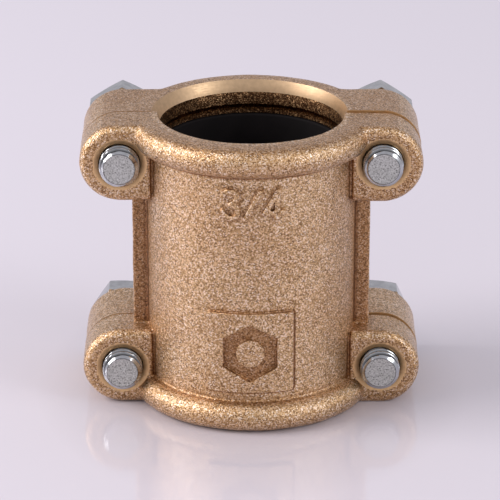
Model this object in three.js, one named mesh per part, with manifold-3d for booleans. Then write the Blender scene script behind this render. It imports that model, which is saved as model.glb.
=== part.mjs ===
// Two-half pipe repair coupling for nominal 3/4 inch steel pipe.
// A front and a rear half shell of cast bronze are drawn together round a rubber sleeve by four M6 hex screws.
// The screw heads bear on the rear lugs and the screws are threaded into the front lugs.
//
// Frame: millimetres, +Z up along the pipe. The origin is on the pipe axis at the lower end face.
// The half shells part in the plane y = 0: the front shell lies at y < 0, the rear shell at y > 0.
import * as THREE from "three";
import { mergeVertices } from "three/addons/utils/BufferGeometryUtils.js";
import Module from "manifold-3d";

// ---- driving dimensions ----
const HEIGHT = 44.0; // end face to end face
const SPLIT_GAP = 0.3; // between the half shells when pulled up

const LIP_R = 13.5; // end lips, just over the 26.9 mm pipe
const CONE_R = 14.2; // lead-in cone at the end face
const CONE_DEPTH = 1.7;
const GROOVE_R = 13.85; // shallow undercut inside each lip
const GROOVE_Z = [3.6, 4.2];
const LIP_Z = 5.0; // the lips end here and the sleeve seat begins
const SEAT_R = 14.5; // seat of the rubber sleeve

const BODY_R = 15.8;
const COLLAR_R = 18.2; // bead at each end
const COLLAR_H = 4.3;
const COLLAR_EDGE = 2.0; // rounding of the bead

const BOLT_X = 19.2;
const BOLT_Z = 5.85; // from each end face
const LUG_RX = 5.96; // outer end of a lug, sideways
const LUG_RZ = 5.85; // half height of a lug
const LUG_EDGE = 1.1; // rounding of the outer face
const LUG_FRONT_Y = -6.8;
const LUG_REAR_Y = 10.9;

const FLANGE_X = 17.6; // side flange along the split, between the lugs
const FLANGE_T = 3.45;

const TAP_R = 3.08; // hole in the front lug, over the thread crests
const CLEAR_R = 3.3; // clearance hole in the rear lug
const SINK_R = 3.85; // machined countersink in the front lug
const SINK_DEPTH = 0.4;
const RELIEF_R = 3.95; // the countersink cutter also trims the bead beside it
const SEAT_FACE_R = 6.3; // spot face for the screw head

const SLEEVE_RI = 13.15;
const SLEEVE_RO = 14.35;
const SLEEVE_END = 5.15; // from each end face
const SLEEVE_SLIT = 0.5;

const SHANK_R = 2.94; // M6
const SHANK_L = 19.75;
const TIP_CHAMFER = 0.65;
const HEAD_AF = 10.0;
const HEAD_H = 4.0;
const HEAD_GAP = 0.05;

const PAD = { x: -0.2, half: 6.3, z: [6.0, 18.5], r: 16.35 }; // raised square pad on the front
const SIZE_MARK = { z: [33.1, 37.7], r: 16.2 }; // raised nominal-size numerals

const FAR = 60;
const SEG = 60;

const wasm = await Module();
wasm.setup();

// ---- helpers ----
function solid(geometry, matrix) {
  const g = geometry.clone();
  g.deleteAttribute("normal");
  g.deleteAttribute("uv");
  if (matrix) g.applyMatrix4(matrix);
  const m = mergeVertices(g, 1e-4);
  return new wasm.Manifold(
    new wasm.Mesh({
      numProp: 3,
      vertProperties: new Float32Array(m.attributes.position.array),
      triVerts: new Uint32Array(m.index.array),
    }),
  );
}

function meshFrom(manifold, name, material) {
  const m = manifold.getMesh();
  const g = new THREE.BufferGeometry();
  g.setAttribute("position", new THREE.BufferAttribute(new Float32Array(m.vertProperties), 3));
  g.setIndex(new THREE.BufferAttribute(new Uint32Array(m.triVerts), 1));
  g.computeVertexNormals();
  const mesh = new THREE.Mesh(g, material);
  mesh.name = name;
  return mesh;
}

const T = (x, y, z) => new THREE.Matrix4().makeTranslation(x, y, z);
const box = (x0, x1, y0, y1, z0, z1) =>
  solid(new THREE.BoxGeometry(x1 - x0, y1 - y0, z1 - z0), T((x0 + x1) / 2, (y0 + y1) / 2, (z0 + z1) / 2));

// A lathe round Z: the profile is [radius, height] pairs and closes on itself.
function turned(profile, segments = SEG) {
  const pts = profile.map(([r, h]) => new THREE.Vector2(r, h));
  const closed = pts[0].equals(pts[pts.length - 1]) ? pts : [...pts, pts[0].clone()];
  const g = new THREE.LatheGeometry(closed, segments);
  return solid(g, new THREE.Matrix4().makeRotationX(Math.PI / 2));
}

// A turned body along Y at a bolt axis: the profile is [radius, y] pairs.
function turnedY(profile, x, z, segments) {
  const pts = profile.map(([r, h]) => new THREE.Vector2(r, h));
  const closed = [...pts, pts[0].clone()];
  return solid(new THREE.LatheGeometry(closed, segments), T(x, 0, z));
}

// Anticlockwise order (r rising outwards) is what a lathe needs for faces that point out.
const rod = (r, y0, y1) => [[0, y0], [r, y0], [r, y1], [0, y1]];

// ---- shells ----
// Bead at one end: flat end face, half-round outer edge.
function bead(z0, z1) {
  const p = [[10, z0]];
  const c = COLLAR_R - COLLAR_EDGE;
  for (let i = 0; i <= 4; i++) {
    const a = -Math.PI / 2 + (i / 4) * (Math.PI / 2);
    p.push([c + COLLAR_EDGE * Math.cos(a), z0 + COLLAR_EDGE + COLLAR_EDGE * Math.sin(a)]);
  }
  for (let i = 0; i <= 4; i++) {
    const a = (i / 4) * (Math.PI / 2);
    p.push([c + COLLAR_EDGE * Math.cos(a), z1 - COLLAR_EDGE + COLLAR_EDGE * Math.sin(a)]);
  }
  p.push([10, z1]);
  return turned(p);
}

// D-shaped lug section in the XZ plane, run along Y with a rounded outer face.
function lug(side, zc, faceY) {
  const dir = Math.sign(faceY);
  const s = new THREE.Shape();
  const e = LUG_EDGE;
  const rx = LUG_RX - e;
  const rz = LUG_RZ - e;
  const inner = 11.5;
  s.moveTo(side * inner, zc - rz);
  s.lineTo(side * BOLT_X, zc - rz);
  for (let i = 1; i < 12; i++) {
    const a = -Math.PI / 2 + (i / 12) * Math.PI;
    s.lineTo(side * (BOLT_X + rx * Math.cos(a)), zc + rz * Math.sin(a));
  }
  s.lineTo(side * BOLT_X, zc + rz);
  s.lineTo(side * inner, zc + rz);
  s.closePath();
  const g = new THREE.ExtrudeGeometry(s, {
    depth: 2 * (Math.abs(faceY) - e),
    bevelEnabled: true,
    bevelThickness: e,
    bevelSize: e,
    bevelSegments: 2,
  });
  g.translate(0, 0, -(Math.abs(faceY) - e));
  // local Z runs along world Y
  const m = new THREE.Matrix4().makeBasis(
    new THREE.Vector3(1, 0, 0),
    new THREE.Vector3(0, 0, 1),
    new THREE.Vector3(0, -1, 0),
  );
  const whole = solid(g, m);
  return dir < 0
    ? whole.subtract(box(-FAR, FAR, 0, FAR, -FAR, FAR))
    : whole.subtract(box(-FAR, FAR, -FAR, 0, -FAR, FAR));
}

// What the pipe and the sleeve take out of both shells.
function boreTool() {
  const half = (z, s) => [
    [CONE_R + 0.3, z - s * 0.73],
    [CONE_R, z],
    [LIP_R, z + s * CONE_DEPTH],
    [LIP_R, z + s * GROOVE_Z[0]],
    [GROOVE_R, z + s * (GROOVE_Z[0] + 0.1)],
    [GROOVE_R, z + s * (GROOVE_Z[1] - 0.1)],
    [LIP_R, z + s * GROOVE_Z[1]],
    [LIP_R, z + s * LIP_Z],
    [SEAT_R, z + s * LIP_Z],
  ];
  const p = [[0, -0.73], ...half(0, 1), ...half(HEIGHT, -1).reverse(), [0, HEIGHT + 0.73]];
  return turned(p);
}

function strokeBar(x0, z0, x1, z1, w) {
  // a straight bar on the front of the body, as a box run through the wall
  const dx = x1 - x0;
  const dz = z1 - z0;
  const len = Math.hypot(dx, dz) + w;
  const g = new THREE.BoxGeometry(len, 8, w);
  const m = new THREE.Matrix4()
    .makeTranslation((x0 + x1) / 2, -15, (z0 + z1) / 2)
    .multiply(new THREE.Matrix4().makeRotationY(-Math.atan2(dz, dx)));
  return solid(g, m);
}

function shell(dir) {
  let s = turned([[0, 0], [BODY_R, 0], [BODY_R, HEIGHT], [0, HEIGHT]]);
  s = s.add(bead(0, COLLAR_H)).add(bead(HEIGHT - COLLAR_H, HEIGHT));
  s = s.add(box(-FLANGE_X, FLANGE_X, -FLANGE_T, FLANGE_T, 1.2, HEIGHT - 1.2));
  const face = dir < 0 ? LUG_FRONT_Y : LUG_REAR_Y;
  for (const side of [-1, 1])
    for (const zc of [BOLT_Z, HEIGHT - BOLT_Z]) s = s.add(lug(side, zc, face));
  if (dir < 0) {
    // raised pad with a recessed plain hexagon, and the nominal size in plain bars
    const disc = (r) => turned([[0, 1], [r, 1], [r, HEIGHT - 1], [0, HEIGHT - 1]]);
    const padBox = box(PAD.x - PAD.half, PAD.x + PAD.half, -FAR, -5, PAD.z[0], PAD.z[1]);
    s = s.add(disc(PAD.r).intersect(padBox));
    const hexTool = solid(
      new THREE.CylinderGeometry(4.6, 4.6, 10, 6),
      T(PAD.x, -20, (PAD.z[0] + PAD.z[1]) / 2),
    );
    const hexCore = solid(
      new THREE.CylinderGeometry(2.1, 2.1, 10, 24),
      T(PAD.x, -20, (PAD.z[0] + PAD.z[1]) / 2),
    );
    const ring = hexTool.subtract(hexCore).subtract(disc(BODY_R - 0.1));
    s = s.subtract(ring);
    const [za, zb] = SIZE_MARK.z;
    const zm = (za + zb) / 2;
    const w = 0.75;
    const a = za + w / 2;
    const b = zb - w / 2;
    const bars = [
      // 3
      [-4.15, b, -1.75, b], [-1.75, b, -1.75, a], [-3.5, zm, -1.75, zm], [-4.15, a, -1.75, a],
      // stroke
      [-0.9, a, 0.9, b],
      // 4
      [3.35, b, 1.7, zm - 0.7], [1.7, zm - 0.7, 4.25, zm - 0.7], [3.4, b, 3.4, a],
    ].map(([x0, z0, x1, z1]) => strokeBar(x0, z0, x1, z1, w));
    let mark = bars[0];
    for (const k of bars.slice(1)) mark = mark.add(k);
    s = s.add(mark.intersect(disc(SIZE_MARK.r)).subtract(disc(BODY_R - 0.4)));
  }
  s = s.subtract(boreTool());
  for (const side of [-1, 1])
    for (const z of [BOLT_Z, HEIGHT - BOLT_Z]) {
      const x = side * BOLT_X;
      if (dir < 0) {
        s = s.subtract(turnedY(rod(TAP_R, -FAR, 5), x, z, 24));
        s = s.subtract(
          turnedY(
            [[0, LUG_FRONT_Y - 1], [SINK_R + 0.02, LUG_FRONT_Y - 1], [SINK_R, LUG_FRONT_Y], [TAP_R - 0.02, LUG_FRONT_Y + SINK_DEPTH], [0, LUG_FRONT_Y + SINK_DEPTH]],
            x, z, 24,
          ),
        );
        s = s.subtract(turnedY(rod(RELIEF_R, -FAR, LUG_FRONT_Y - 0.001), x, z, 24));
      } else {
        s = s.subtract(turnedY(rod(CLEAR_R, -5, FAR), x, z, 24));
        s = s.subtract(turnedY(rod(SEAT_FACE_R, LUG_REAR_Y, FAR), x, z, 36));
      }
    }
  const g = SPLIT_GAP / 2;
  return dir < 0
    ? s.subtract(box(-FAR, FAR, -g, FAR, -FAR, FAR * 2))
    : s.subtract(box(-FAR, FAR, -FAR, g, -FAR, FAR * 2));
}

// ---- rubber sleeve ----
// A plain tube with one lengthways slit, so that it opens round the pipe.
function sleeve() {
  const tube = turned(
    [[SLEEVE_RI, SLEEVE_END], [SLEEVE_RO, SLEEVE_END], [SLEEVE_RO, HEIGHT - SLEEVE_END], [SLEEVE_RI, HEIGHT - SLEEVE_END]],
    64,
  );
  const slit = solid(
    new THREE.BoxGeometry(20, SLEEVE_SLIT, HEIGHT * 2),
    new THREE.Matrix4().makeRotationZ(-Math.PI / 3).multiply(T(14, 0, HEIGHT / 2)),
  );
  return tube.subtract(slit);
}

// ---- screws ----
// Hex screw lying along Y: the head bears on the rear lug, the chamfered end stands out of the front lug.
function hexScrew(x, z, cornerDeg) {
  const y0 = LUG_REAR_Y + HEAD_GAP;
  const end = y0 - SHANK_L;
  const ra = HEAD_AF / 2 / Math.cos(Math.PI / 6);
  const hex = new THREE.CylinderGeometry(ra, ra, HEAD_H, 6);
  // a cylinder's corners start on +Z and turn towards +X; turn one corner to the angle asked for, from +X towards +Z
  const turn = new THREE.Matrix4().makeRotationY(Math.PI / 2 - THREE.MathUtils.degToRad(cornerDeg));
  const head = solid(hex, T(x, y0 + HEAD_H / 2, z).multiply(turn));
  const chamfer = turnedY(
    [[0, y0 - 1], [8, y0 - 1], [8, y0 + HEAD_H - (8 - 4.75) * Math.tan(Math.PI / 6)], [4.75, y0 + HEAD_H], [0, y0 + HEAD_H]],
    x, z, 36,
  );
  const shank = turnedY(
    [[0, end], [SHANK_R - TIP_CHAMFER, end], [SHANK_R, end + TIP_CHAMFER], [SHANK_R, y0 + 0.5], [0, y0 + 0.5]],
    x, z, 24,
  );
  return head.intersect(chamfer).add(shank);
}

const bronze = () => new THREE.MeshStandardMaterial({ color: 0xb58c62, roughness: 0.5, metalness: 0.85 });
const zinc = () => new THREE.MeshStandardMaterial({ color: 0xb9bdc2, roughness: 0.3, metalness: 0.95 });
const rubber = () => new THREE.MeshStandardMaterial({ color: 0x141417, roughness: 0.75, metalness: 0.0 });

const coupling = new THREE.Group();

const rearGroup = new THREE.Group();
rearGroup.add(meshFrom(shell(1), "rear_shell", bronze()));
rearGroup.add(meshFrom(sleeve(), "rubber_sleeve", rubber()));
coupling.add(rearGroup);

coupling.add(meshFrom(shell(-1), "front_shell", bronze()));

const screws = new THREE.Group();
screws.add(meshFrom(hexScrew(-BOLT_X, HEIGHT - BOLT_Z, 91.5), "screw_upper_left", zinc()));
screws.add(meshFrom(hexScrew(BOLT_X, HEIGHT - BOLT_Z, 86), "screw_upper_right", zinc()));
screws.add(meshFrom(hexScrew(-BOLT_X, BOLT_Z, 116.6), "screw_lower_left", zinc()));
screws.add(meshFrom(hexScrew(BOLT_X, BOLT_Z, 54.5), "screw_lower_right", zinc()));
coupling.add(screws);

export default coupling;
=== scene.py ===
import math

import bmesh
import bpy
import numpy as np
from mathutils import Matrix, Vector


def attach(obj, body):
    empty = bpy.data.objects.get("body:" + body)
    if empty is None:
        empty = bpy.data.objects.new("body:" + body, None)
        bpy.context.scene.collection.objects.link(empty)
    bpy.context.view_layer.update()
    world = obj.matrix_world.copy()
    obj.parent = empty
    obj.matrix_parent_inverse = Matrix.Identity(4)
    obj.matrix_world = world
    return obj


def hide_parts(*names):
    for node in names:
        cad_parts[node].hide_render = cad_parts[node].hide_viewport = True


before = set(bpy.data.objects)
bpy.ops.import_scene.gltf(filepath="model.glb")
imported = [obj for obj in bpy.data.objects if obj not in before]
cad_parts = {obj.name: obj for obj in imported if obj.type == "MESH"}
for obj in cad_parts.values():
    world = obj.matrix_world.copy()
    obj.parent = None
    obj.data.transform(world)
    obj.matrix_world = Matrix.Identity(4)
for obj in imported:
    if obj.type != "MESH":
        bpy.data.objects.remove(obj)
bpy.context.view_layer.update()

MM = 0.001

# ------------------------------------------------------------------ sizes, mm
HEIGHT = 44.0
GAP = 0.15                     # half the split gap
LIP_R, CONE_R, CONE_DEPTH = 13.5, 14.2, 1.7
GROOVE_R, GROOVE_Z = 13.85, (3.6, 4.2)
LIP_Z, SEAT_R = 5.0, 14.5
BODY_R = 15.8
BEAD_R, BEAD_H, BEAD_E = 18.2, 4.3, 2.08
BOLT_X, BOLT_Z = 19.2, 5.85
LUG_RX, LUG_RZ = 5.93, 5.85
LUG_FRONT, LUG_REAR = 6.8, 10.9
LUG_E = 1.25
STRIP_X, STRIP_T, STRIP_E = 17.6, 3.45, 0.45
TAP_R, CLEAR_R = 3.08, 3.3
SINK_R, SINK_DEPTH, RELIEF_R = 3.85, 0.4, 3.95
SPOT_R = 6.3
SLEEVE_RI, SLEEVE_RO, SLEEVE_END, SLEEVE_SLIT = 13.15, 14.35, 5.15, 0.5
SHANK_R, SHANK_L, PITCH = 2.94, 19.75, 1.0
HEAD_AF, HEAD_H, HEAD_GAP = 10.0, 4.0, 0.05
PAD_X, PAD_HALF, PAD_Z, PAD_R = -0.2, 6.3, (6.0, 18.5), 16.42
MARK_R = 16.34
LUG_INNER = 14.6              # the boss of a front lug starts here, beside the body

VOXEL = 0.25


# ------------------------------------------------------- distance functions, mm
def union_r(a, b, r):
    """Union with a concave fillet of radius r."""
    return np.maximum(r, np.minimum(a, b)) - np.hypot(np.maximum(r - a, 0), np.maximum(r - b, 0))


def inter_r(a, b, r):
    """Intersection with a convex rounding of radius r."""
    return np.minimum(-r, np.maximum(a, b)) + np.hypot(np.maximum(r + a, 0), np.maximum(r + b, 0))


def seg_dist(x, z, ax, az, bx, bz):
    dx, dz = bx - ax, bz - az
    t = np.clip(((x - ax) * dx + (z - az) * dz) / (dx * dx + dz * dz), 0, 1)
    return np.hypot(x - ax - t * dx, z - az - t * dz)


# centre lines of the raised size numerals, (x, z)
STROKES = [
    [(-4.16, 36.55), (-3.98, 37.12), (-3.42, 37.42), (-2.72, 37.42), (-2.2, 37.08), (-2.1, 36.5), (-2.4, 35.86), (-3.02, 35.38)],
    [(-3.02, 35.38), (-2.3, 35.1), (-1.92, 34.5), (-2.02, 33.8), (-2.58, 33.34), (-3.38, 33.32), (-3.95, 33.74), (-4.16, 34.3)],
    [(-0.9, 33.36), (1.3, 37.36)],
    [(3.78, 37.45), (1.92, 34.12), (4.55, 34.2)],
    [(3.78, 37.45), (3.6, 33.2)],
]


def marks(x, y, z, r):
    """Raised pad with a recessed hexagon ring, and the raised numerals. Returns (raised, recessed)."""
    zc = 0.5 * (PAD_Z[0] + PAD_Z[1])
    hz = 0.5 * (PAD_Z[1] - PAD_Z[0])
    px, pz = np.abs(x - PAD_X), np.abs(z - zc)
    c = 0.45
    q1, q2 = px - PAD_HALF + c, pz - hz + c
    plan = np.hypot(np.maximum(q1, 0), np.maximum(q2, 0)) + np.minimum(np.maximum(q1, q2), 0) - c
    pad = inter_r(plan, r - PAD_R, 0.10)
    d = np.full(np.shape(x), 50.0)
    for line in STROKES:
        for (ax, az), (bx, bz) in zip(line[:-1], line[1:]):
            d = np.minimum(d, seg_dist(x, z, ax, az, bx, bz))
    num = inter_r((d - 0.40) * 0.9, r - MARK_R, 0.2)
    raised = np.minimum(pad, num)
    hexa = np.maximum(px, 0.5 * px + 0.8660254 * pz) - 3.98
    ring = np.maximum(hexa, 2.1 - np.hypot(px, pz))
    recess = inter_r(ring, (BODY_R - 0.12) - r, 0.08)
    front = y < 0
    return np.where(front, raised, 50.0), np.where(front, recess, 50.0)


def casting(x, y, z, side, detail=True):
    """Signed distance, in mm, to the rough casting of one half (side -1 front, +1 rear), before any machining."""
    z_true = z
    if side < 0:
        # the front half sits a touch low on the right, which bares the rear half's split face there
        t = np.clip((x - 4.0) / 14.0, 0, 1)
        z = z + 0.24 * t * t * (3 - 2 * t)
    r = np.hypot(x, y)
    zz = np.minimum(z, HEIGHT - z)               # height above the nearer end
    body = r - BODY_R
    q1 = r - (BEAD_R - BEAD_E)
    q2 = np.abs(zz - BEAD_H / 2) - (BEAD_H / 2 - BEAD_E)
    bead = np.hypot(np.maximum(q1, 0), np.maximum(q2, 0)) + np.minimum(np.maximum(q1, q2), 0) - BEAD_E
    ax = np.abs(x)
    q1, q2 = ax - (STRIP_X - STRIP_E), np.abs(y) - (STRIP_T - STRIP_E)
    strip = np.hypot(np.maximum(q1, 0), np.maximum(q2, 0)) + np.minimum(np.maximum(q1, q2), 0) - STRIP_E
    face = LUG_FRONT if side < 0 else LUG_REAR
    dz = zz - BOLT_Z
    dx = np.maximum(ax - BOLT_X, 0)
    plan = np.hypot(dx * (LUG_RZ / LUG_RX), dz) - LUG_RZ
    lug = inter_r(plan, side * y - face, LUG_E)
    if side < 0:
        lug = inter_r(lug, LUG_INNER - ax, 0.5)
    base = union_r(body, strip, 0.22)
    if detail and side < 0:
        raised, recess = marks(x, y, z, r)
        base = union_r(base, raised, 0.06)
        base = inter_r(base, -recess, 0.07)
    base = union_r(base, bead, 0.42)
    d = union_r(base, lug, 0.20)
    d = inter_r(d, -z_true, 0.12)
    d = inter_r(d, z - HEIGHT, 0.12)
    return d


# ---------------------------------------------------------------- value noise
_lat = {}


def noise3(p, cell, seed):
    """Smooth value noise in -1..1 on points p (n, 3), with lattice spacing cell."""
    if seed not in _lat:
        _lat[seed] = np.random.RandomState(seed).uniform(-1, 1, (64, 64, 64))
    lat = _lat[seed]
    q = p / cell + 1000.0
    i = np.floor(q).astype(int)
    f = q - i
    f = f * f * (3 - 2 * f)
    out = np.zeros(len(p))
    for a in (0, 1):
        wa = f[:, 0] if a else 1 - f[:, 0]
        for b in (0, 1):
            wb = f[:, 1] if b else 1 - f[:, 1]
            for c in (0, 1):
                wc = f[:, 2] if c else 1 - f[:, 2]
                out += wa * wb * wc * lat[(i[:, 0] + a) % 64, (i[:, 1] + b) % 64, (i[:, 2] + c) % 64]
    return out


# ----------------------------------------------------------------- meshing
def surface_nets(f, lo, hi, h):
    ax = [lo[k] + h * np.arange(int(math.ceil((hi[k] - lo[k]) / h)) + 1) for k in range(3)]
    X, Y, Z = np.meshgrid(*[a.astype(np.float32) for a in ax], indexing="ij")
    F = f(X, Y, Z)
    S = F < 0
    n = [s - 1 for s in S.shape]
    cnt = np.zeros(n, np.int8)
    for a in (0, 1):
        for b in (0, 1):
            for c in (0, 1):
                cnt += S[a:a + n[0], b:b + n[1], c:c + n[2]]
    act = (cnt > 0) & (cnt < 8)
    idx = np.full(act.shape, -1, np.int64)
    I, J, K = np.nonzero(act)
    idx[act] = np.arange(len(I))
    pos = np.zeros((len(I), 3))
    w = np.zeros(len(I))
    cor = [(a, b, c) for a in (0, 1) for b in (0, 1) for c in (0, 1)]
    for p in cor:
        for q in cor:
            if sum(abs(p[k] - q[k]) for k in range(3)) != 1 or p > q:
                continue
            fa = F[I + p[0], J + p[1], K + p[2]]
            fb = F[I + q[0], J + q[1], K + q[2]]
            m = (fa < 0) != (fb < 0)
            t = np.where(m, fa / np.where(m, fa - fb, 1), 0)
            for k in range(3):
                pos[:, k] += np.where(m, p[k] + t * (q[k] - p[k]), 0)
            w += m
    pos /= w[:, None]
    V = np.stack([ax[0][0] + h * (I + pos[:, 0]), ax[1][0] + h * (J + pos[:, 1]), ax[2][0] + h * (K + pos[:, 2])], 1)
    quads = []
    for k in range(3):
        u, v = (k + 1) % 3, (k + 2) % 3
        sa = [slice(1, -1)] * 3
        sb = [slice(1, -1)] * 3
        sa[k], sb[k] = slice(0, -1), slice(1, None)
        A, B = S[tuple(sa)], S[tuple(sb)]
        P = np.stack(np.nonzero(A != B), 1)
        inside = A[tuple(P.T)]
        P = P + 1
        P[:, k] -= 1
        eu, ev = np.eye(3, dtype=int)[u], np.eye(3, dtype=int)[v]
        c = [P - eu - ev, P - ev, P, P - eu]
        q = np.stack([idx[tuple(a.T)] for a in c], 1)
        q[~inside] = q[~inside][:, ::-1]
        quads.append(q)
    return V, np.concatenate(quads)


def grad(f, V, e=0.01):
    g = np.empty_like(V)
    for k in range(3):
        d = np.zeros(3)
        d[k] = e
        a, b = V + d, V - d
        g[:, k] = (f(a[:, 0], a[:, 1], a[:, 2]) - f(b[:, 0], b[:, 1], b[:, 2])) / (2 * e)
    return g


def project(f, V, steps=4, cap=0.25):
    for _ in range(steps):
        d = f(V[:, 0], V[:, 1], V[:, 2])
        g = grad(f, V)
        g2 = np.maximum((g * g).sum(1), 0.2)
        V = V - (np.clip(d, -cap, cap) / g2)[:, None] * g
    return V


def mesh_from(name, V, faces):
    me = bpy.data.meshes.new(name)
    me.from_pydata((V * MM).tolist(), [], faces.tolist() if hasattr(faces, "tolist") else faces)
    me.update()
    return me


def new_object(name, me):
    o = bpy.data.objects.new(name, me)
    bpy.context.scene.collection.objects.link(o)
    return o


def lathe(profile, n, axis="z", at=(0.0, 0.0)):
    """Closed turned body. The profile is [radius, height] pairs, anticlockwise; the first and last lie on the axis or the profile closes."""
    pts = list(profile)
    on_axis = pts[0][0] < 1e-9 and pts[-1][0] < 1e-9
    V, F, rings = [], [], []
    for r, h in pts:
        if r < 1e-9:
            rings.append([len(V)])
            V.append((0.0, 0.0, h))
        else:
            rings.append(list(range(len(V), len(V) + n)))
            for i in range(n):
                a = 2 * math.pi * i / n
                V.append((r * math.cos(a), r * math.sin(a), h))
    pairs = list(zip(rings[:-1], rings[1:]))
    if not on_axis:
        pairs.append((rings[-1], rings[0]))
    for a, b in pairs:
        for i in range(n):
            j = (i + 1) % n
            if len(a) == 1 and len(b) == 1:
                continue
            if len(a) == 1:
                F.append((a[0], b[j], b[i]))
            elif len(b) == 1:
                F.append((a[i], a[j], b[0]))
            else:
                F.append((a[i], a[j], b[j], b[i]))
    V = np.array(V)
    if axis == "y":
        # heights run along +Y, the turning plane is XZ; the axis lies at x, z
        V = np.stack([V[:, 1] + at[0], V[:, 2], V[:, 0] + at[1]], 1)
    return V, F


def block(x0, x1, y0, y1, z0, z1):
    V = np.array([(x, y, z) for x in (x0, x1) for y in (y0, y1) for z in (z0, z1)], float)
    F = [(0, 1, 3, 2), (4, 6, 7, 5), (0, 4, 5, 1), (2, 3, 7, 6), (0, 2, 6, 4), (1, 5, 7, 3)]
    return V, F


def boolean(obj, tools, op="DIFFERENCE"):
    """Applies one boolean after another and returns the cut mesh on the same object."""
    for V, F in tools:
        t = new_object("tool", mesh_from("tool", V, F))
        m = obj.modifiers.new("cut", "BOOLEAN")
        m.operation, m.solver, m.object = op, "MANIFOLD", t
        dg = bpy.context.evaluated_depsgraph_get()
        before = len(obj.data.polygons)
        me = bpy.data.meshes.new_from_object(obj.evaluated_get(dg))
        old = obj.data
        obj.modifiers.remove(m)
        obj.data = me
        bpy.data.meshes.remove(old)
        tm = t.data
        bpy.data.objects.remove(t)
        bpy.data.meshes.remove(tm)
        print("cut", obj.name, before, "->", len(me.polygons))
    return obj


def co_of(me):
    co = np.empty(len(me.vertices) * 3)
    me.vertices.foreach_get("co", co)
    return co.reshape(-1, 3) / MM


def set_co(me, V):
    me.vertices.foreach_set("co", (V * MM).astype(np.float32).ravel())
    me.update()


def refine(me, pick, cuts):
    """Splits the faces whose centre pick() accepts."""
    bm = bmesh.new()
    bm.from_mesh(me)
    bm.faces.ensure_lookup_table()
    c = np.array([f.calc_center_median()[:] for f in bm.faces]) / MM
    keep = pick(c[:, 0], c[:, 1], c[:, 2])
    edges = {e for f, k in zip(bm.faces, keep) if k for e in f.edges}
    bmesh.ops.subdivide_edges(bm, edges=list(edges), cuts=cuts, use_grid_fill=True)
    bmesh.ops.triangulate(bm, faces=[f for f in bm.faces if len(f.verts) > 4])
    bm.to_mesh(me)
    bm.free()


# ------------------------------------------------------------------ the shells
def bore_tool(cone_r, cone_depth, shift=0.0):
    def half(z, s):
        return [
            (cone_r + 0.5, z - s * 0.5 * cone_depth / (cone_r - LIP_R)),
            (cone_r, z),
            (LIP_R, z + s * cone_depth),
            (LIP_R, z + s * GROOVE_Z[0]),
            (GROOVE_R, z + s * (GROOVE_Z[0] + 0.12)),
            (GROOVE_R, z + s * (GROOVE_Z[1] - 0.12)),
            (LIP_R, z + s * GROOVE_Z[1]),
            (LIP_R, z + s * LIP_Z),
            (SEAT_R, z + s * LIP_Z),
        ]
    low, high = half(0.0, 1), half(HEIGHT, -1)[::-1]
    p = [(0.0, low[0][1])] + low + high + [(0.0, high[-1][1])]
    V, F = lathe(p, 192)
    wide = (V[:, 2] < 0.5) | (V[:, 2] > HEIGHT - 0.5)
    V[wide, 0] += shift
    return V, F


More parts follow.
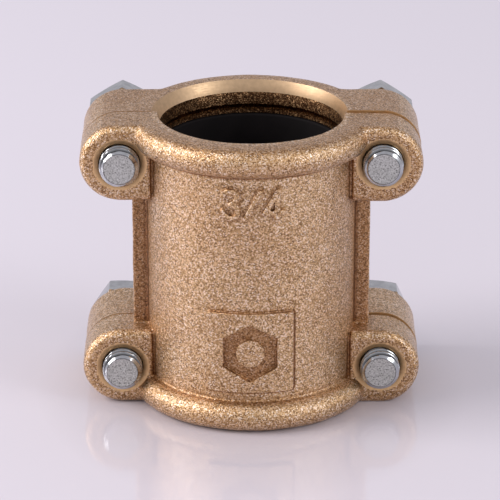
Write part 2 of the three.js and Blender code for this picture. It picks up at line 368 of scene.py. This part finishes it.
def make_shell(side, name, body, node, mats):
    def f(x, y, z):
        return np.maximum(casting(x, y, z, side), side * -1.0 * y - 0.9)

    def f_smooth(x, y, z):
        return casting(x, y, z, side)

    ylo, yhi = (-19.3, 1.7) if side < 0 else (-1.7, 19.3)
    V, Q = surface_nets(f, (-26.2, ylo, -1.1), (26.2, yhi, 45.1), VOXEL)
    V = project(f, V)
    me = mesh_from(name, V, Q)
    o = new_object(name, me)
    if side < 0:
        refine(me, lambda x, y, z: (y < -13.5) & (((np.abs(x - PAD_X) < 7.1) & (z > 5.2) & (z < 19.3)) | ((np.abs(x) < 5.4) & (z > 32.2) & (z < 38.6))), 2)
        V = co_of(me)
        m = (V[:, 1] < -12) & (np.abs(V[:, 0]) < 8)
        V[m] = project(f, V[m], steps=5, cap=0.12)
        set_co(me, V)
    # the cast skin is never quite even
    V = co_of(me)
    g = grad(f_smooth, V)
    g /= np.maximum(np.linalg.norm(g, axis=1), 1e-6)[:, None]
    wav = 0.035 * noise3(V, 3.1, 11 + side) + 0.018 * noise3(V, 1.15, 21 + side) + 0.010 * noise3(V, 0.55, 31 + side)
    wav -= 0.02
    flat = np.minimum(V[:, 2], HEIGHT - V[:, 2]) < 0.02
    wav[flat] *= 0.0
    V = V + g * wav[:, None] * (np.abs(V[:, 1]) > 0.4)[:, None]
    set_co(me, V)
    g0 = GAP
    tools = []
    if side < 0:
        tools.append(block(-40, 40, -g0, 30, -20, 70))
        tools.append(bore_tool(13.85, 0.9))
        for sx in (-1, 1):
            for z in (BOLT_Z, HEIGHT - BOLT_Z):
                x = sx * BOLT_X
                p = [(0, -30), (RELIEF_R, -30), (RELIEF_R, -LUG_FRONT), (SINK_R, -LUG_FRONT), (TAP_R, -LUG_FRONT + SINK_DEPTH), (TAP_R, 3), (0, 3)]
                tools.append(lathe(p, 72, "y", (x, z)))
    else:
        V, F = block(-40, 40, -30, g0, -20, 70)
        # the rear half sits a hair askew, so the gap is open on one side and nearly shut on the other
        V[:, 1] = np.where(V[:, 1] > 0, V[:, 1] + (V[:, 0] + 12.0) * (0.26 / 37.0), V[:, 1])
        tools.append((V, F))
        tools.append(bore_tool(14.42, CONE_DEPTH, -0.25))
        for sx in (-1, 1):
            for z in (BOLT_Z, HEIGHT - BOLT_Z):
                x = sx * BOLT_X
                p = [(0, -3), (CLEAR_R, -3), (CLEAR_R, LUG_REAR - 0.25), (CLEAR_R + 0.25, LUG_REAR), (SPOT_R, LUG_REAR), (SPOT_R, 30), (0, 30)]
                tools.append(lathe(p, 72, "y", (x, z)))
    boolean(o, tools)
    me = o.data
    # materials: 0 cast skin, 1 machined, 2 split face, 3 the lip inside the bore in a darkened copy of the cast bronze
    # (painted shade), 4 the countersinks in a lightened copy of the machined bronze (painted light, front half only)
    me.materials.clear()
    for m in mats:
        me.materials.append(m)
    n = len(me.polygons)
    c = np.empty(n * 3)
    me.polygons.foreach_get("center", c)
    c = c.reshape(-1, 3) / MM
    nn = np.empty(n * 3)
    me.polygons.foreach_get("normal", nn)
    nn = nn.reshape(-1, 3)
    r = np.hypot(c[:, 0], c[:, 1])
    zz = np.minimum(c[:, 2], HEIGHT - c[:, 2])
    radial = (nn[:, 0] * c[:, 0] + nn[:, 1] * c[:, 1]) / np.maximum(r, 1e-6)
    idx = np.zeros(n, np.int32)
    cone = (zz < CONE_DEPTH + 0.02) & (r < CONE_R + 0.6) & (radial < -0.7)
    idx[cone] = 1
    for sx in (-1, 1):
        for z in (BOLT_Z, HEIGHT - BOLT_Z):
            t = np.hypot(c[:, 0] - sx * BOLT_X, c[:, 2] - z)
            if side < 0:
                ax_n = -((c[:, 0] - sx * BOLT_X) * nn[:, 0] + (c[:, 2] - z) * nn[:, 2]) / np.maximum(t, 1e-6)
                hit = (t < RELIEF_R + 0.02) & ((ax_n > 0.4) | (c[:, 1] > -LUG_FRONT - 0.02) | ((nn[:, 1] < -0.99) & (t < SINK_R + 0.2)))
                idx[hit & (c[:, 1] < -0.3)] = 4
            else:
                hit = ((t < SPOT_R + 0.02) & (np.abs(c[:, 1] - LUG_REAR) < 0.01)) | ((t < CLEAR_R + 0.3) & (c[:, 1] > 0.5))
                idx[hit] = 1
    split = (np.abs(nn[:, 1]) > 0.99) & (np.abs(c[:, 1]) < 0.5)
    idx[split] = 2
    # the lip faces inside the bore take the darkened bronze copy: painted shade
    painted_shade_lip = (zz > (0.92 if side < 0 else CONE_DEPTH + 0.02)) & (r < SEAT_R + 0.1) & ~split
    idx[painted_shade_lip] = 3
    me.polygons.foreach_set("material_index", idx)
    me.polygons.foreach_set("use_smooth", np.ones(n, bool))
    me.set_sharp_from_angle(angle=math.radians(32))
    # how closed-in each point is, from the distance function: painted shade, which darkens the colour in creases and
    # hollows
    V = co_of(me)
    N = np.empty(len(V) * 3)
    me.vertices.foreach_get("normal", N)
    N = N.reshape(-1, 3)
    occ = np.ones(len(V))
    both = lambda p: casting(p[:, 0], p[:, 1], p[:, 2], side, True)
    for dist, wt in ((0.5, 0.5), (1.2, 0.25), (2.5, 0.08)):
        d = both(V + N * dist)
        occ -= wt * np.clip(1 - d / dist, 0, 1)
    rv = np.hypot(V[:, 0], V[:, 1])
    bore_side = rv < 14.6
    zv = np.minimum(V[:, 2], HEIGHT - V[:, 2])
    ax_v = np.abs(V[:, 0])
    # painted shade: the faces of the side strips, the seams at the body and the recess of the pad are darkened, along
    # with the lug front faces, the top end face, the folds beside the strips and the creases above the beads
    # painted shade on the strip faces, darker on the left strip than on the right
    strip = (np.abs(V[:, 1]) < STRIP_T + 0.1) & (ax_v > 15.2) & (ax_v < STRIP_X - 0.12) & (zv > 11.9) & (np.abs(N[:, 1]) > 0.6)
    occ[strip] = np.minimum(occ[strip], np.where(V[strip, 0] < 0, 0.42, 0.50))
    # painted shade on the front faces of the lugs
    face = (V[:, 1] < -6.55) & (V[:, 1] > -7.2) & (ax_v > 14.9) & (N[:, 1] < -0.9)
    occ[face] = np.minimum(occ[face], 0.72)
    # painted shade on the upward top end face
    crown = (V[:, 2] > 43.3) & (N[:, 2] > 0.8)
    occ[crown] = np.minimum(occ[crown], 0.70)
    # painted shade in the seam where the lug boss meets the body
    seam = (V[:, 1] < -5.0) & (V[:, 1] > -6.5) & (np.abs(ax_v - 14.50) < 0.25) & (zv > 4.4) & (zv < 12.0)
    occ[seam] = np.minimum(occ[seam], 0.66)
    # painted shade in the fold where the strips meet the body
    fold = (np.abs(V[:, 1]) > STRIP_T - 0.1) & (np.abs(V[:, 1]) < STRIP_T + 0.75) & (ax_v > 14.9) & (ax_v < 15.9) & (zv > 11.9)
    occ[fold] = np.minimum(occ[fold], 0.25)
    # painted shade in the creases above the beads, darker at the top bead
    crease = (np.abs(zv - 4.5) < 0.28) & (rv < 16.45) & (rv > 15.0) & (ax_v < 14.8)
    occ[crease] = np.minimum(occ[crease], np.where(V[crease, 2] > 20, 0.32, 0.62))
    if side < 0:
        # painted shade in the recessed ring of the pad
        deep = (V[:, 1] < -13) & (np.abs(V[:, 0] - PAD_X) < 4.3) & (np.abs(V[:, 2] - 12.25) < 4.9) & (rv < BODY_R + 0.1)
        occ[deep] = np.minimum(occ[deep], 0.5)
        # the pad's top face gets one fixed value of painted shade
        top = (rv > PAD_R - 0.06) & (rv < PAD_R + 0.1) & (V[:, 1] < -13) & (np.abs(V[:, 0] - PAD_X) < PAD_HALF - 0.1) & (V[:, 2] < 18.4)
        occ[top] = 0.82
        # painted shadow along the right and lower edges of the pad, a lighter painted shade ring round the numerals,
        # and the raised tops cleared of painted shade
        near = (V[:, 1] < -13) & (np.abs(V[:, 0]) < 9)
        raised, _ = marks(V[near, 0], V[near, 1], V[near, 2], np.full(near.sum(), 15.0))
        low = rv[near] < BODY_R + 0.16
        o2 = occ[near]
        xn, zn = V[near, 0], V[near, 2]
        shady = (xn > PAD_X + PAD_HALF - 0.05) | (zn < PAD_Z[0] + 0.05)
        o2[(zn < 25) & (raised > 0.02) & (raised < 0.36) & low & shady] = 0.20
        o2[(zn > 25) & (raised > 0.02) & (raised < 0.20) & low] = 0.74
        o2[(rv[near] > BODY_R + 0.2) & (raised < -0.05) & ~deep[near]] = 1.0
        occ[near] = o2
    # the bore gets no occlusion shade here; its own painted shade comes from the darkened lip material
    occ[bore_side] = 1.0
    # painted shadow: the groove is set black and the ledge below it darker
    groove = (rv > 13.62) & (rv < 13.95) & (zv > 3.4) & (zv < 4.4)
    occ[groove] = 0.0
    ledge = (rv > 13.2) & (rv < 13.62) & (zv > 4.15) & (zv < 4.45)
    occ[ledge] = 0.45
    at = me.attributes.new("open", "FLOAT", "POINT")
    at.data.foreach_set("value", np.clip(occ, 0, 1).astype(np.float32))
    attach(o, body)
    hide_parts(node)
    print(name, "polygons", n)
    return o


# ----------------------------------------------------------------- materials
def node_mat(name):
    m = bpy.data.materials.new(name)
    m.use_nodes = True
    nt = m.node_tree
    for n in list(nt.nodes):
        nt.nodes.remove(n)
    out = nt.nodes.new("ShaderNodeOutputMaterial")
    bsdf = nt.nodes.new("ShaderNodeBsdfPrincipled")
    nt.links.new(bsdf.outputs[0], out.inputs[0])
    tc = nt.nodes.new("ShaderNodeTexCoord")
    return m, nt, bsdf, tc


def noise_node(nt, tc, scale, detail=2.0, rough=0.5, mapping=None):
    n = nt.nodes.new("ShaderNodeTexNoise")
    n.inputs["Scale"].default_value = scale
    n.inputs["Detail"].default_value = detail
    n.inputs["Roughness"].default_value = rough
    if mapping is not None:
        mp = nt.nodes.new("ShaderNodeMapping")
        mp.inputs["Scale"].default_value = mapping
        nt.links.new(tc.outputs["Object"], mp.inputs[0])
        nt.links.new(mp.outputs[0], n.inputs["Vector"])
    else:
        nt.links.new(tc.outputs["Object"], n.inputs["Vector"])
    return n


def ramp(nt, src, stops):
    r = nt.nodes.new("ShaderNodeValToRGB")
    e = r.color_ramp.elements
    while len(e) < len(stops):
        e.new(0.5)
    for el, (p, c) in zip(e, stops):
        el.position = p
        el.color = (*c, 1) if len(c) == 3 else c
    nt.links.new(src, r.inputs[0])
    return r


def mix_rgb(nt, a, b, fac, mode="MIX"):
    m = nt.nodes.new("ShaderNodeMix")
    m.data_type = "RGBA"
    m.blend_type = mode
    for sock, v in ((6, a), (7, b)):
        if isinstance(v, tuple):
            m.inputs[sock].default_value = (*v, 1)
        else:
            nt.links.new(v, m.inputs[sock])
    if isinstance(fac, float):
        m.inputs[0].default_value = fac
    else:
        nt.links.new(fac, m.inputs[0])
    return m.outputs[2]


def math_node(nt, op, a, b=None, clamp=False):
    m = nt.nodes.new("ShaderNodeMath")
    m.operation = op
    m.use_clamp = clamp
    for i, v in enumerate((a, b)):
        if v is None:
            continue
        if isinstance(v, (int, float)):
            m.inputs[i].default_value = v
        else:
            nt.links.new(v, m.inputs[i])
    return m.outputs[0]


def bump(nt, height, strength, distance, prev=None):
    b = nt.nodes.new("ShaderNodeBump")
    b.inputs["Strength"].default_value = strength
    b.inputs["Distance"].default_value = distance
    nt.links.new(height, b.inputs["Height"])
    if prev is not None:
        nt.links.new(prev, b.inputs["Normal"])
    return b.outputs[0]


def cast_bronze(name, painted_shade_lip=False):
    m, nt, bsdf, tc = node_mat(name)
    fine = noise_node(nt, tc, 6300, 1.0, 0.5)
    grit = nt.nodes.new("ShaderNodeTexVoronoi")
    grit.inputs["Scale"].default_value = 5600
    nt.links.new(tc.outputs["Object"], grit.inputs["Vector"])
    cell = nt.nodes.new("ShaderNodeTexVoronoi")
    cell.inputs["Scale"].default_value = 6300
    nt.links.new(tc.outputs["Object"], cell.inputs["Vector"])
    sep = nt.nodes.new("ShaderNodeSeparateColor")
    nt.links.new(cell.outputs["Color"], sep.inputs[0])
    broad = noise_node(nt, tc, 260, 3.0, 0.55)
    patch = noise_node(nt, tc, 90, 2.0, 0.5)
    mixv = math_node(nt, "MULTIPLY", sep.outputs[0], 0.80)
    mixf = math_node(nt, "MULTIPLY", fine.outputs[0], 0.20)
    grain = math_node(nt, "ADD", mixv, mixf)
    # painted shade: the lip inside the bore gets a much darker copy of the cast bronze
    if painted_shade_lip:
        stops = [(0.20, (0.040, 0.019, 0.009)), (0.45, (0.095, 0.046, 0.022)), (0.68, (0.19, 0.100, 0.048)), (0.85, (0.50, 0.31, 0.16))]
    else:
        stops = [(0.12, (0.20, 0.100, 0.036)), (0.30, (0.42, 0.242, 0.102)), (0.52, (0.62, 0.392, 0.192)), (0.74, (0.83, 0.590, 0.365)), (0.89, (0.96, 0.82, 0.70))]
    base = ramp(nt, grain, stops)
    tint = ramp(nt, patch.outputs[0], [(0.35, (0.94, 0.90, 0.86)), (0.65, (1.0, 1.0, 1.0))])
    col = mix_rgb(nt, base.outputs[0], tint.outputs[0], 1.0, "MULTIPLY")
    # painted shade: the 'open' attribute darkens the base colour in creases, hollows and shaded faces
    at = nt.nodes.new("ShaderNodeAttribute")
    at.attribute_name = "open"
    painted_shade = ramp(nt, at.outputs["Fac"], [(0.0, (0.12, 0.06, 0.03)), (0.22, (0.36, 0.23, 0.13)), (0.55, (0.70, 0.58, 0.46)), (0.86, (1.0, 1.0, 1.0))])
    col = mix_rgb(nt, col, painted_shade.outputs[0], 1.0, "MULTIPLY")
    nt.links.new(col, bsdf.inputs["Base Color"])
    bsdf.inputs["Metallic"].default_value = 1.0
    rr = ramp(nt, sep.outputs[1], [(0.1, (0.36, 0.36, 0.36)), (0.9, (0.58, 0.58, 0.58))])
    nt.links.new(rr.outputs[0], bsdf.inputs["Roughness"])
    bsdf.inputs["Coat Weight"].default_value = 0.0 if painted_shade_lip else 0.55
    bsdf.inputs["Coat Roughness"].default_value = 0.28
    b1 = bump(nt, broad.outputs[0], 0.4, 0.00008)
    b2 = bump(nt, fine.outputs[0], 0.5, 0.00004, b1)
    b3 = bump(nt, grit.outputs["Distance"], 0.8, 0.00007, b2)
    nt.links.new(b3, bsdf.inputs["Normal"])
    return m


def machined(name, tone=(0.72, 0.53, 0.36), rough=0.30):
    m, nt, bsdf, tc = node_mat(name)
    fine = noise_node(nt, tc, 1500, 2.0, 0.5)
    streak = noise_node(nt, tc, 900, 3.0, 0.6, (1.0, 1.0, 6.0))
    c = ramp(nt, fine.outputs[0], [(0.3, tuple(0.86 * t for t in tone)), (0.7, tone)])
    nt.links.new(c.outputs[0], bsdf.inputs["Base Color"])
    bsdf.inputs["Metallic"].default_value = 1.0
    rr = ramp(nt, streak.outputs[0], [(0.3, (rough - 0.05,) * 3), (0.7, (rough + 0.08,) * 3)])
    nt.links.new(rr.outputs[0], bsdf.inputs["Roughness"])
    b = bump(nt, streak.outputs[0], 0.25, 0.00003)
    nt.links.new(b, bsdf.inputs["Normal"])
    return m


def zinc(name, face=False):
    m, nt, bsdf, tc = node_mat(name)
    n1 = noise_node(nt, tc, 4200, 2.0, 0.6)
    n2 = noise_node(nt, tc, 700, 2.0, 0.5)
    if face:
        c = ramp(nt, n1.outputs[0], [(0.32, (0.16, 0.16, 0.155)), (0.44, (0.47, 0.47, 0.45)), (0.70, (0.68, 0.68, 0.66))])
        rough = (0.42, 0.60)
    else:
        c = ramp(nt, n2.outputs[0], [(0.3, (0.46, 0.475, 0.49)), (0.7, (0.62, 0.635, 0.655))])
        rough = (0.10, 0.22)
    # painted shade: the 'open' attribute darkens the zinc colour in the thread roots and at the tip rim
    at = nt.nodes.new("ShaderNodeAttribute")
    at.attribute_name = "open"
    painted_shade = ramp(nt, at.outputs["Fac"], [(0.0, (0.03, 0.028, 0.026)), (1.0, (1.0, 1.0, 1.0))])
    col = mix_rgb(nt, c.outputs[0], painted_shade.outputs[0], 1.0, "MULTIPLY")
    nt.links.new(col, bsdf.inputs["Base Color"])
    bsdf.inputs["Metallic"].default_value = 1.0
    rr = ramp(nt, n2.outputs[0], [(0.3, (rough[0],) * 3), (0.7, (rough[1],) * 3)])
    nt.links.new(rr.outputs[0], bsdf.inputs["Roughness"])
    b = bump(nt, n1.outputs[0], 0.5 if face else 0.10, 0.00004)
    nt.links.new(b, bsdf.inputs["Normal"])
    return m


def rubber_mat(name):
    m, nt, bsdf, tc = node_mat(name)
    n1 = noise_node(nt, tc, 2400, 3.0, 0.6)
    n2 = noise_node(nt, tc, 300, 2.0, 0.5)
    c = ramp(nt, n2.outputs[0], [(0.3, (0.006, 0.0048, 0.005)), (0.7, (0.010, 0.008, 0.0085))])
    nt.links.new(c.outputs[0], bsdf.inputs["Base Color"])
    rr = ramp(nt, n2.outputs[0], [(0.3, (0.70,) * 3), (0.7, (0.85,) * 3)])
    nt.links.new(rr.outputs[0], bsdf.inputs["Roughness"])
    bsdf.inputs["Specular IOR Level"].default_value = 0.12
    b = bump(nt, n1.outputs[0], 0.4, 0.00004)
    nt.links.new(b, bsdf.inputs["Normal"])
    return m


# -------------------------------------------------------------------- screws
def make_screw(x, z, corner_deg, name, body, node, mats):
    y0 = LUG_REAR + HEAD_GAP
    end = y0 - SHANK_L
    # threaded shank as a height field r(angle, y), right-hand helix
    nth = 72
    step = 0.0625
    ys = np.arange(end, y0 + 0.3 + 1e-9, step)
    th = 2 * np.pi * np.arange(nth) / nth
    A, Y = np.meshgrid(th, ys)
    phase = ((Y - end) / PITCH - A / (2 * np.pi) + 0.35) % 1.0
    tri = 1 - np.abs(2 * phase - 1)                       # 0 at root, 1 at crest
    depth = 0.58
    prof = np.clip((tri - 0.14) / 0.72, 0, 1)
    prof = prof * prof * (3 - 2 * prof) * 0.35 + prof * 0.65
    R = SHANK_R - depth * (1 - prof)
    cham = SHANK_R - 0.62 + (Y - end) * 1.0                # rolled chamfer at the tip
    R = np.minimum(R, np.maximum(cham, SHANK_R - depth - 0.02))
    R = np.minimum(R, SHANK_R - 0.62 + (Y - end) * 1.0)
    run = np.clip((Y - (y0 - 1.2)) / 0.8, 0, 1)            # thread runs out under the head
    R = R * (1 - run) + (SHANK_R - 0.25) * run
    V = [np.stack([x + R * np.sin(A), Y, z + R * np.cos(A)], -1).reshape(-1, 3)]
    F = []
    rows = len(ys)
    for j in range(rows - 1):
        for i in range(nth):
            k = (i + 1) % nth
            F.append((j * nth + i, j * nth + k, (j + 1) * nth + k, (j + 1) * nth + i))
    base = rows * nth
    # tip face: slightly dished disc in rings
    rt = float(R[0].mean())
    rings = [(rt - 0.10, 0.0), (rt - 0.20, 0.012), (rt * 0.72, 0.02), (rt * 0.4, 0.035)]
    prev = list(range(nth))
    for rr, dy in rings:
        ring = [base + i for i in range(nth)]
        V.append(np.stack([x + rr * np.sin(th), np.full(nth, end + dy), z + rr * np.cos(th)], -1))
        base += nth
        for i in range(nth):
            k = (i + 1) % nth
            F.append((prev[k], prev[i], ring[i], ring[k]))
        prev = ring
    V.append(np.array([[x, end + 0.04, z]]))
    for i in range(nth):
        F.append((prev[(i + 1) % nth], prev[i], base))
    base += 1
    last = list(range((rows - 1) * nth, rows * nth))
    V.append(np.array([[x, ys[-1], z]]))
    for i in range(nth):
        F.append((last[i], last[(i + 1) % nth], base))
    shank_faces = len(F)
    V = np.concatenate(V)
    o = new_object(name, mesh_from(name, V, F))
    # head: hexagon with its outer corners turned off at 30 degrees and a slightly hollow crown
    ra = HEAD_AF / 2 / math.cos(math.pi / 6)
    a0 = math.radians(corner_deg)
    HV, HF = [], []
    ys2 = [y0, y0 + HEAD_H]
    for y in ys2:
        for i in range(6):
            a = a0 + i * math.pi / 3
            HV.append((x + ra * math.cos(a), y, z + ra * math.sin(a)))
    HF = [tuple(range(6)), tuple(range(11, 5, -1))] + [(i, 6 + i, 6 + (i + 1) % 6, (i + 1) % 6) for i in range(6)]
    head = new_object(name + "_head", mesh_from(name + "_head", np.array(HV), HF))
    bm = bmesh.new()
    bm.from_mesh(head.data)
    bmesh.ops.recalc_face_normals(bm, faces=bm.faces)
    side_edges = [e for e in bm.edges if abs(e.verts[0].co.y - e.verts[1].co.y) > 0.001]
    bmesh.ops.bevel(bm, geom=side_edges, offset=0.00012, segments=2, affect="EDGES", profile=0.5)
    bm.to_mesh(head.data)
    bm.free()
    t30 = math.tan(math.pi / 6)
    env = [(0, y0 - 1), (8, y0 - 1), (8, y0 + HEAD_H - (8 - 4.72) * t30), (4.78, y0 + HEAD_H - 0.02), (4.60, y0 + HEAD_H),
           (3.9, y0 + HEAD_H - 0.02), (3.4, y0 + HEAD_H - 0.10), (0, y0 + HEAD_H - 0.16)]
    boolean(head, [lathe(env, 96, "y", (x, z))], "INTERSECT")
    hv, hf = co_of(head.data), [tuple(p.vertices) for p in head.data.polygons]
    hm = head.data
    bpy.data.objects.remove(head)
    bpy.data.meshes.remove(hm)
    boolean(o, [(hv, hf)], "UNION")
    me = o.data
    me.materials.clear()
    for m in mats:
        me.materials.append(m)
    n = len(me.polygons)
    c = np.empty(n * 3)
    me.polygons.foreach_get("center", c)
    c = c.reshape(-1, 3) / MM
    idx = np.zeros(n, np.int32)
    t = np.hypot(c[:, 0] - x, c[:, 2] - z)
    idx[(c[:, 1] < end + 0.06) & (t < rt - 0.01)] = 1
    me.polygons.foreach_set("material_index", idx)
    me.polygons.foreach_set("use_smooth", np.ones(n, bool))
    me.set_sharp_from_angle(angle=math.radians(28))
    # thread roots and the rim of the tip stay dark
    V = co_of(me)
    tv = np.hypot(V[:, 0] - x, V[:, 2] - z)
    # painted shade: the thread roots darken towards the root and the rim of the tip is a thin dark ring
    shade = np.ones(len(V))
    shank = (V[:, 1] < y0 - 0.05) & (V[:, 1] > end + 0.66)
    shade[shank] = np.clip((tv[shank] - (SHANK_R - depth)) / depth, 0, 1) ** 2.2
    rim = (V[:, 1] < end + 0.05) & (np.abs(tv - rt) < 0.04)
    shade[rim] = 0.12
    at = me.attributes.new("open", "FLOAT", "POINT")
    at.data.foreach_set("value", shade.astype(np.float32))
    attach(o, body)
    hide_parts(node)
    return o


# ------------------------------------------------------------------- sleeve
def make_sleeve(mat):
    e = 0.25
    p = []

    def corner(cx, cz, a0):
        for k in range(5):
            a = math.radians(a0 + 22.5 * k)
            p.append((cx + e * math.cos(a), cz + e * math.sin(a)))
    lo, hi = SLEEVE_END, HEIGHT - SLEEVE_END
    corner(SLEEVE_RO - e, lo + e, -90)
    corner(SLEEVE_RO - e, hi - e, 0)
    corner(SLEEVE_RI + e, hi - e, 90)
    corner(SLEEVE_RI + e, lo + e, 180)
    V, F = lathe(p, 160)
    o = new_object("rubber_lining", mesh_from("rubber_lining", V, F))
    sv, sf = block(10, 20, -SLEEVE_SLIT / 2, SLEEVE_SLIT / 2, -5, 60)
    a = -math.pi / 3
    sv = np.stack([sv[:, 0] * math.cos(a) - sv[:, 1] * math.sin(a), sv[:, 0] * math.sin(a) + sv[:, 1] * math.cos(a), sv[:, 2]], 1)
    boolean(o, [(sv, sf)])
    me = o.data
    me.materials.clear()
    me.materials.append(mat)
    me.polygons.foreach_set("use_smooth", np.ones(len(me.polygons), bool))
    me.set_sharp_from_angle(angle=math.radians(35))
    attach(o, "rear_half")
    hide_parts("rubber_sleeve")
    return o


# -------------------------------------------------------------------- camera
D, EL, AZ, ROLL = 461.277, math.radians(22.202), math.radians(-0.219), math.radians(0.02)
back = Vector((math.sin(AZ) * math.cos(EL), -math.cos(AZ) * math.cos(EL), math.sin(EL)))
right = Vector((math.cos(AZ), math.sin(AZ), 0))
up = back.cross(right).normalized()
right2 = right * math.cos(ROLL) + up * math.sin(ROLL)
up2 = up * math.cos(ROLL) - right * math.sin(ROLL)
pos = (Vector((-0.173, 0, 21.985)) + back * D) * MM
cd = bpy.data.cameras.new("camera")
cd.lens, cd.sensor_width = 222.23, 36.0
cd.clip_start, cd.clip_end = 0.01, 20
cam = bpy.data.objects.new("camera", cd)
bpy.context.scene.collection.objects.link(cam)
rot = Matrix((right2, up2, back)).transposed()
cam.matrix_world = Matrix.Translation(pos) @ rot.to_4x4()
bpy.context.scene.camera = cam

# -------------------------------------------------------------------- pieces
bronze_f, bronze_r = cast_bronze("cast_bronze_front"), cast_bronze("cast_bronze_rear")
cone_m = machined("bronze_machined", (0.62, 0.435, 0.265), 0.46)
split_m = machined("bronze_split", (0.86, 0.58, 0.28), 0.42)
lip_painted_shade_m = cast_bronze("bronze_lip_painted_shade", True)
# painted light: the countersinks get a lighter, more golden copy of the machined bronze, to lift the shade in the sunk
# rings
sink_m = machined("bronze_sunk", (0.84, 0.56, 0.30), 0.50)
zinc_m, zinc_tip = zinc("zinc_bright"), zinc("zinc_tip", True)
rub = rubber_mat("black_rubber")

front = make_shell(-1, "front_casting", "front_half", "front_shell", [bronze_f, cone_m, split_m, lip_painted_shade_m, sink_m])
rear = make_shell(1, "rear_casting", "rear_half", "rear_shell", [bronze_r, cone_m, split_m, lip_painted_shade_m])
make_sleeve(rub)
for sx, z, deg, nm in ((-1, HEIGHT - BOLT_Z, 91.5, "upper_left"), (1, HEIGHT - BOLT_Z, 86, "upper_right"),
                       (-1, BOLT_Z, 116.6, "lower_left"), (1, BOLT_Z, 54.5, "lower_right")):
    b = "screw_" + "".join(w[0] for w in nm.split("_"))
    make_screw(sx * BOLT_X, z, deg, "hex_screw_" + nm, b, "screw_" + nm, [zinc_m, zinc_tip])

# --------------------------------------------------------------------- stage
fm, nt, bsdf, tc = node_mat("floor")
sepx = nt.nodes.new("ShaderNodeSeparateXYZ")
nt.links.new(tc.outputs["Object"], sepx.inputs[0])
# painted shadow on the floor: darker towards the front and the right
painted_shadow_slope = math_node(nt, "ADD", math_node(nt, "MULTIPLY", sepx.outputs[1], 1.6), math_node(nt, "MULTIPLY", sepx.outputs[0], -1.2))
fcol = ramp(nt, math_node(nt, "ADD", painted_shadow_slope, 0.15, True), [(0.0, (0.70, 0.662, 0.725)), (0.75, (0.81, 0.767, 0.85))])
# painted contact shadow: the floor darkens close around the object
rad = math_node(nt, "SQRT", math_node(nt, "ADD", math_node(nt, "MULTIPLY", math_node(nt, "POWER", sepx.outputs[0], 2.0), 1.5), math_node(nt, "POWER", sepx.outputs[1], 2.0)))
painted_contact_shadow = ramp(nt, math_node(nt, "MULTIPLY", rad, 20.0, True), [(0.36, (0.80, 0.78, 0.76)), (0.47, (0.84, 0.835, 0.83)), (0.80, (1.0, 1.0, 1.0))])
nt.links.new(mix_rgb(nt, fcol.outputs[0], painted_contact_shadow.outputs[0], 1.0, "MULTIPLY"), bsdf.inputs["Base Color"])
bsdf.inputs["IOR"].default_value = 1.6
n = noise_node(nt, tc, 6, 2, 0.5)
rr = ramp(nt, n.outputs[0], [(0.3, (0.055,) * 3), (0.7, (0.085,) * 3)])
nt.links.new(rr.outputs[0], bsdf.inputs["Roughness"])
fv = [(-3, -3, 0), (3, -3, 0), (3, 3, 0), (-3, 3, 0)]
fme = bpy.data.meshes.new("floor")
fme.from_pydata(fv, [], [(0, 1, 2, 3)])
fme.materials.append(fm)
floor = new_object("floor", fme)
floor.location.z = -0.00002

world = bpy.data.worlds.new("world")
bpy.context.scene.world = world
world.use_nodes = True
bg = world.node_tree.nodes["Background"]
bg.inputs[0].default_value = (0.87, 0.845, 0.905, 1)
bg.inputs[1].default_value = 0.65


def area(name, loc, target, size, energy, colour=(1, 1, 1), spread=180):
    l = bpy.data.lights.new(name, "AREA")
    l.shape = "RECTANGLE"
    l.size, l.size_y = size
    l.energy = energy
    l.color = colour
    l.spread = math.radians(spread)
    o = bpy.data.objects.new(name, l)
    bpy.context.scene.collection.objects.link(o)
    o.location = loc
    d = Vector(target) - Vector(loc)
    o.rotation_euler = d.to_track_quat("-Z", "Y").to_euler()
    return o


area("key_left", (-0.70, -0.10, 0.46), (0, 0, 0.02), (0.45, 0.6), 5.7, (1.0, 0.965, 0.965))
area("fill_right", (0.6, -0.30, 0.38), (0, 0, 0.02), (0.26, 0.4), 1.7, (0.98, 0.985, 1.0))
area("front", (0.0, -0.95, 0.42), (0, 0, 0.02), (1.3, 0.7), 0.6)

scn = bpy.context.scene
scn.view_settings.view_transform = "Standard"

bpy.context.view_layer.update()
